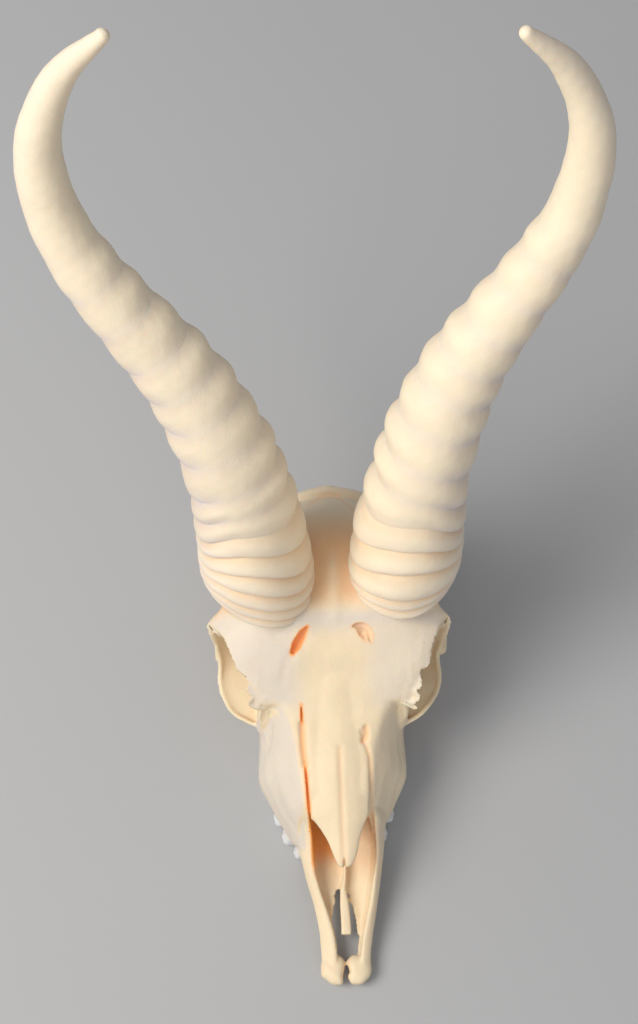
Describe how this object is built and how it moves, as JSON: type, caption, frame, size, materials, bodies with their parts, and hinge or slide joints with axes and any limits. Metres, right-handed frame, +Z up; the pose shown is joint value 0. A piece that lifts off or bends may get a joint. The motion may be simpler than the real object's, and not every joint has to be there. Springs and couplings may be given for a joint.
{
  "type": "springbok skull",
  "caption": "Antelope skull without lower jaw, its ringed horns sweeping out and curling back in at the tips, standing on its cheek teeth.",
  "frame": {"origin": "middle of the bounding box on the plane that the cheek teeth stand on", "axes": "+Z up, along the horns' longest reach; -Y towards the tip of the muzzle; +X the animal's left"},
  "size_m": [0.1852, 0.2371, 0.3292],
  "materials": {
    "bone": "satin ivory, like cast or printed bone; warm orange in the deep hollows",
    "horn": "satin cream with warmer grooves between the rings",
    "tooth": "smoother satin, slightly blue-white"
  },
  "bodies": {
    "root": {"skull": "bone", "horn_left": "horn", "horn_right": "horn", "premolar_2_left": "tooth", "premolar_3_left": "tooth", "premolar_4_left": "tooth", "molar_1_left": "tooth", "molar_2_left": "tooth", "molar_3_left": "tooth", "premolar_2_right": "tooth", "premolar_3_right": "tooth", "premolar_4_right": "tooth", "molar_1_right": "tooth", "molar_2_right": "tooth", "molar_3_right": "tooth"}
  },
  "joints": []
}
